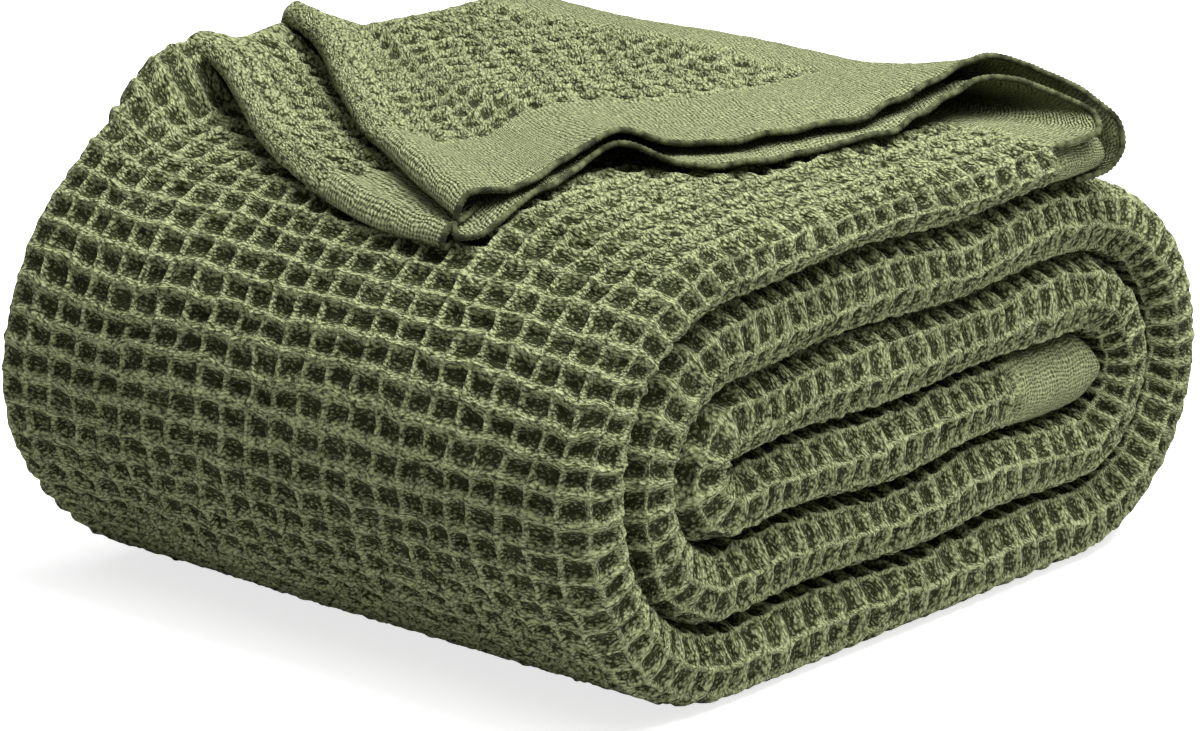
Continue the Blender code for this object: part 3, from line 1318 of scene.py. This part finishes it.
@dataclass(frozen=True)
class CottonFinish:
    """Matt dyed cotton, lighter on the ribs by a painted highlight, and darker in the pits and between the
    yarns by painted shade.
    """

    name: str
    light: Point
    dark: Point
    threads: float
    bump: float
    # How much painted shade darkens the middle of a pit.
    pit_shade: float
    hollow_fade: tuple[float, float] = (0.25, 1.0)
    bump_height: float = 0.0013
    roughness: float = 0.92
    specular: float = 0.25
    sheen: float = 0.06
    sheen_roughness: float = 0.5
    sheen_tint: Point = (0.75, 0.85, 0.5)

    def material(self, yarn: bpy.types.NodeTree) -> bpy.types.Material:
        """Makes the material. Colour and bump come from the piece's own weave map and attributes.

        Args:
            yarn: the node group of the yarns.

        Returns:
            The material.
        """
        material = bpy.data.materials.new(self.name)
        material.use_nodes = True
        nodes = NodeTree(material.node_tree)
        shader = material.node_tree.nodes["Principled BSDF"]
        shader.inputs["Roughness"].default_value = self.roughness
        shader.inputs["Specular IOR Level"].default_value = self.specular
        shader.inputs["Sheen Weight"].default_value = self.sheen
        shader.inputs["Sheen Roughness"].default_value = self.sheen_roughness
        shader.inputs["Sheen Tint"].default_value = (*self.sheen_tint, 1.0)
        hollow = nodes.attribute("hollow")
        across, up, _ = nodes.parts(nodes.add("ShaderNodeUVMap", uv_map="weave").outputs["UV"])
        weave = nodes.add("ShaderNodeCombineXYZ")
        nodes.feed(weave.inputs, (across, up, nodes.math("MULTIPLY", hollow, WEAVE.depth / WEAVE.along)))
        cloth = nodes.add("ShaderNodeGroup")
        cloth.node_tree = yarn
        nodes.feed(cloth.inputs, (weave.outputs[0], self.threads, nodes.attribute("plain")))
        # Painted shade in the pits: the colour darkens as the hollow attribute grows.
        shadow = nodes.math("MULTIPLY", nodes.fade(hollow, *self.hollow_fade), self.pit_shade)
        shade = nodes.math("SUBTRACT", cloth.outputs["Shade"], shadow)
        shade = nodes.math("MINIMUM", nodes.math("MAXIMUM", shade, 0.0), 1.0)
        nodes.join(nodes.mix(shade, self.dark, self.light), shader.inputs["Base Color"])
        bump = nodes.add("ShaderNodeBump")
        bump.inputs["Strength"].default_value = self.bump
        bump.inputs["Distance"].default_value = self.bump_height
        nodes.join(cloth.outputs["Height"], bump.inputs["Height"])
        nodes.join(bump.outputs["Normal"], shader.inputs["Normal"])
        return material


SAGE = CottonFinish(
    "sage waffle cotton",
    light=(0.395, 0.431, 0.220),
    dark=(0.018, 0.023, 0.003),
    threads=10.0,
    bump=1.0,
    pit_shade=0.66,
)
# The hem thread is a darker copy of the cloth colour: partly the dark overlock thread, partly painted shade
# along the edge.
SAGE_HEM = CottonFinish(
    "sage hem thread",
    light=(0.170, 0.192, 0.085),
    dark=(0.016, 0.020, 0.006),
    threads=1.0,
    bump=0.8,
    pit_shade=0.0,
)


def toward(azimuth: float, elevation: float) -> np.ndarray:
    """Unit direction from the roll to a place at that azimuth and elevation, in degrees."""
    turn, rise = math.radians(azimuth), math.radians(elevation)
    return np.array([math.cos(rise) * math.sin(turn), -math.cos(rise) * math.cos(turn), math.sin(rise)])


def aim(thing: Piece, place: np.ndarray, at: Point) -> None:
    """Puts a camera or light at a place, looking at a point, with its side level.

    Args:
        thing: the camera or light.
        place: where it goes.
        at: what it looks at.
    """
    back = (place - np.array(at)) / np.linalg.norm(place - np.array(at))
    side = np.cross((0.0, 0.0, 1.0), back)
    side /= np.linalg.norm(side)
    turned = np.eye(4)
    turned[:3] = np.stack([side, np.cross(back, side), back, place], axis=1)
    thing.matrix_world = Matrix(turned.tolist())


@dataclass(frozen=True)
class SoftLight:
    """A square soft light. Angles are in degrees."""

    name: str
    azimuth: float
    elevation: float
    away: float
    size: float
    power: float

    def build(self, target: Point) -> None:
        """Makes the light.

        Args:
            target: what it is aimed at.
        """
        lamp = bpy.data.lights.new(self.name, "AREA")
        lamp.shape = "SQUARE"
        lamp.size = self.size
        lamp.energy = self.power
        thing = bpy.data.objects.new(self.name, lamp)
        bpy.context.scene.collection.objects.link(thing)
        aim(thing, np.array(target) + self.away * toward(self.azimuth, self.elevation), target)


@dataclass(frozen=True)
class Studio:
    """Camera, soft lights and a white floor. Angles are in degrees."""

    azimuth: float = 40.94
    elevation: float = 17.37
    target: Point = (0.0182, -0.0271, 0.0840)
    distance: float = 2.418
    lens: float = 198.6
    sensor: float = 36.0
    lights: tuple[SoftLight, ...] = (
        SoftLight("soft light above", 115.0, 70.0, 1.5, 1.1, 56.0),
        SoftLight("soft light from the right", 80.0, 46.0, 2.2, 0.9, 3.6),
        SoftLight("soft light from the left", -20.0, 58.0, 2.4, 1.0, 5.6),
    )
    room_light: float = 0.075
    floor_half: float = 6.0
    floor_z: float = -0.0004
    paper: float = 0.80
    under_roll: float = 0.76
    shadow_fade: tuple[float, float] = (-0.02, 0.08)
    roll_half: tuple[float, float] = (0.143, 0.150)

    def camera(self) -> None:
        """Makes the scene camera."""
        camera = bpy.data.objects.new("camera", bpy.data.cameras.new("camera"))
        camera.data.lens = self.lens
        camera.data.sensor_width = self.sensor
        camera.data.sensor_fit = "HORIZONTAL"
        camera.data.clip_end = 20.0
        bpy.context.scene.collection.objects.link(camera)
        aim(camera, np.array(self.target) + self.distance * toward(self.azimuth, self.elevation), self.target)
        bpy.context.scene.camera = camera

    def background(self) -> None:
        """A white background, which lights the scene only a little."""
        world = bpy.data.worlds.new("studio")
        bpy.context.scene.world = world
        world.use_nodes = True
        nodes = NodeTree(world.node_tree)
        background = world.node_tree.nodes["Background"]
        background.inputs["Strength"].default_value = 1.0
        seen = nodes.add("ShaderNodeLightPath").outputs["Is Camera Ray"]
        nodes.join(nodes.mix(seen, (self.room_light,) * 3, (1.0, 1.0, 1.0)), background.inputs["Color"])

    def white_paper(self) -> bpy.types.Material:
        """White paper that glows a little less under the roll, where its shadow falls.

        The glow follows the greater of the distances outside the roll's outline along X and along Y.

        Returns:
            The material.
        """
        paper = bpy.data.materials.new("white paper")
        paper.use_nodes = True
        nodes = NodeTree(paper.node_tree)
        shader = paper.node_tree.nodes["Principled BSDF"]
        shader.inputs["Base Color"].default_value = (self.paper, self.paper, self.paper, 1.0)
        shader.inputs["Roughness"].default_value = 1.0
        shader.inputs["Emission Strength"].default_value = 1.0
        places = nodes.parts(nodes.add("ShaderNodeTexCoord").outputs["Object"])
        beyond = [
            nodes.math("SUBTRACT", nodes.math("ABSOLUTE", place), half)
            for place, half in zip(places, self.roll_half)
        ]
        away = nodes.fade(nodes.math("MAXIMUM", *beyond), *self.shadow_fade)
        glow = nodes.math("MULTIPLY_ADD", away, 1.0 - self.under_roll, self.under_roll)
        seen = nodes.add("ShaderNodeLightPath").outputs["Is Camera Ray"]
        nodes.join(nodes.math("MULTIPLY", seen, glow), shader.inputs["Emission Color"])
        return paper

    def floor(self) -> None:
        """Makes the floor."""
        half, z = self.floor_half, self.floor_z
        mesh = bpy.data.meshes.new("floor")
        square = [(-half, -half, z), (half, -half, z), (half, half, z), (-half, half, z)]
        mesh.from_pydata(square, [], [(0, 1, 2, 3)])
        mesh.materials.append(self.white_paper())
        floor = bpy.data.objects.new("floor", mesh)
        bpy.context.scene.collection.objects.link(floor)
        floor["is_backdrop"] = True

    def build(self) -> None:
        """Sets up the whole studio."""
        self.camera()
        for light in self.lights:
            light.build(self.target)
        self.background()
        self.floor()
        bpy.context.scene.view_settings.view_transform = "Standard"


def corners(box: object) -> list[list[float]]:
    """A box as plain lists."""
    return [[float(value) for value in corner] for corner in box]


def main() -> None:
    """Builds the blanket and the studio."""
    logging.basicConfig(level=logging.INFO, format="%(message)s")
    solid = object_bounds()
    low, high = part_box(NODE)
    yarn = YarnPattern().group()
    maker = Maker({Kind.WAFFLE: SAGE.material(yarn), Kind.BINDING: SAGE_HEM.material(yarn)})
    band = RolledBand(Roll(length=high.x - low.x, width=high.y - low.y))
    for piece in band.build(maker) + TurnedEnd(band).build(maker):
        log.info("made %s: %d faces", piece.name, len(piece.data.polygons))
    Studio().build()
    bpy.context.view_layer.update()
    {"solid": corners(solid), "visual": corners(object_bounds())}


if __name__ == "__main__":
    main()
